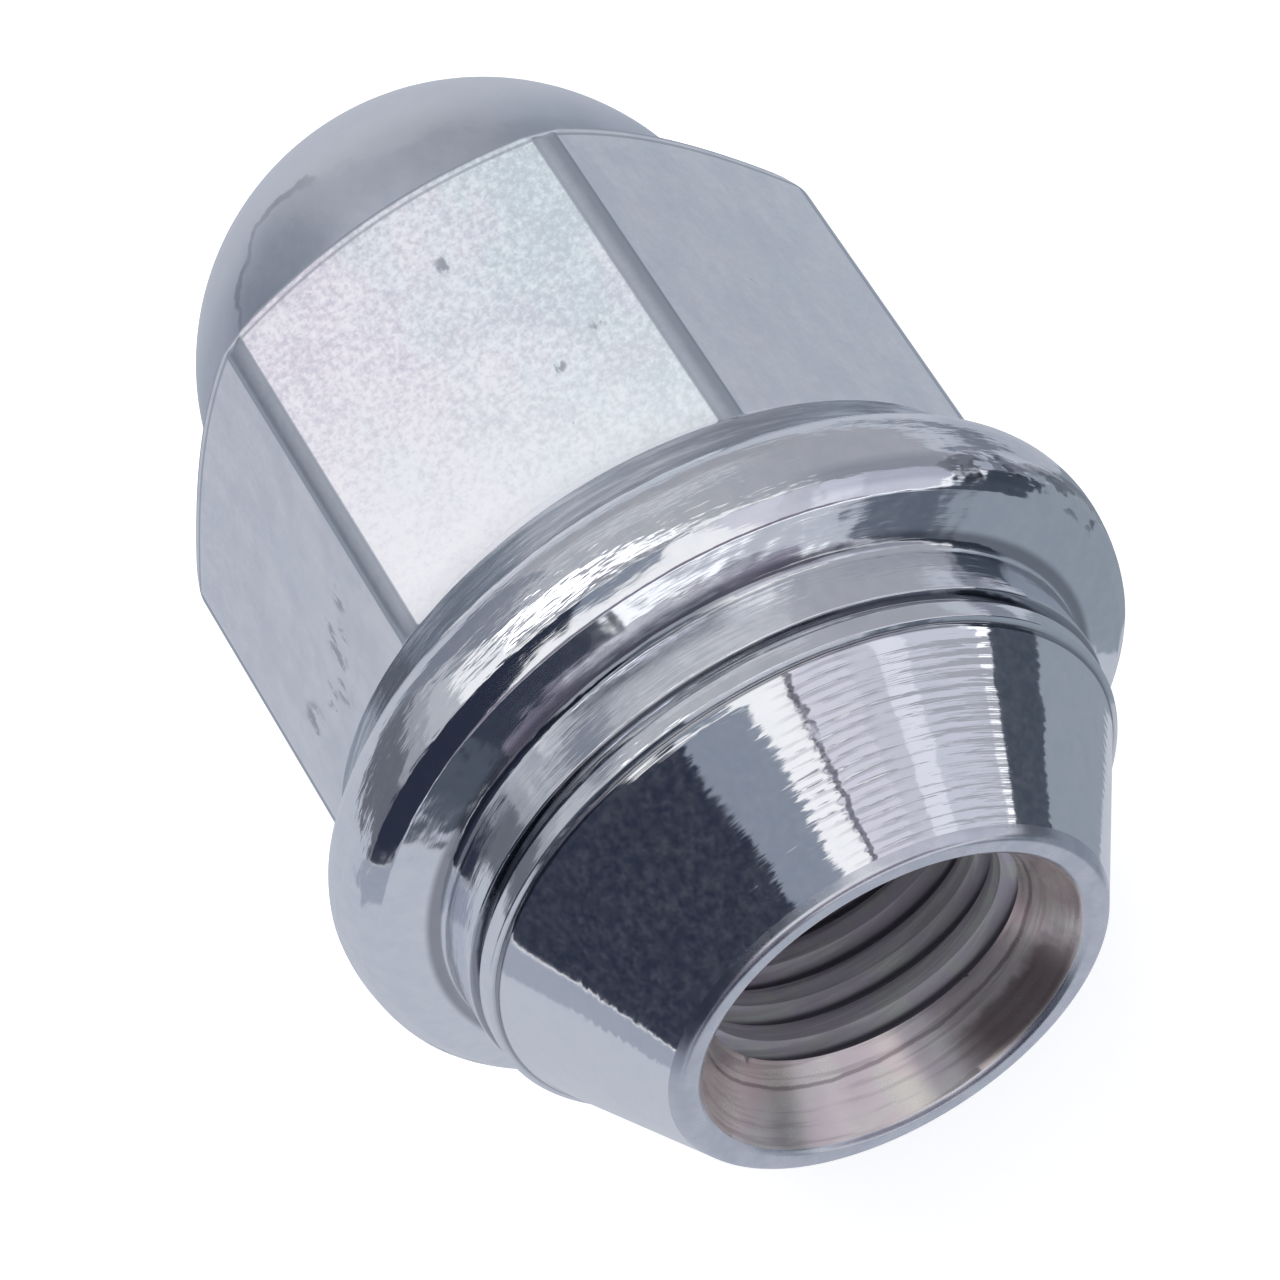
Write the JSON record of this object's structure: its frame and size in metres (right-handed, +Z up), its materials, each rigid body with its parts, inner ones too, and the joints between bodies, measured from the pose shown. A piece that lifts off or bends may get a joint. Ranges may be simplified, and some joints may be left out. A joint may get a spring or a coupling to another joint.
{
  "type": "lug nut",
  "caption": "Closed-end wheel nut: hexagon with a domed cap, bulged flange, turned land, conical seat and a blind threaded bore open at the nose.",
  "frame": {"origin": "centre of the nut's bounding box on the surface that it lies on", "axes": "+Z up; the nut's own axis lies in the YZ plane, the dome towards +Y and the open nose towards -Y, raised by 10.87 degrees"},
  "size_m": [0.0276, 0.0394, 0.0272],
  "materials": {
    "plated_steel": "bright plated steel: satin on the hexagon and dome, polished on the flange, land and seat"
  },
  "bodies": {
    "root": {"lug_nut": "plated_steel"}
  },
  "joints": []
}
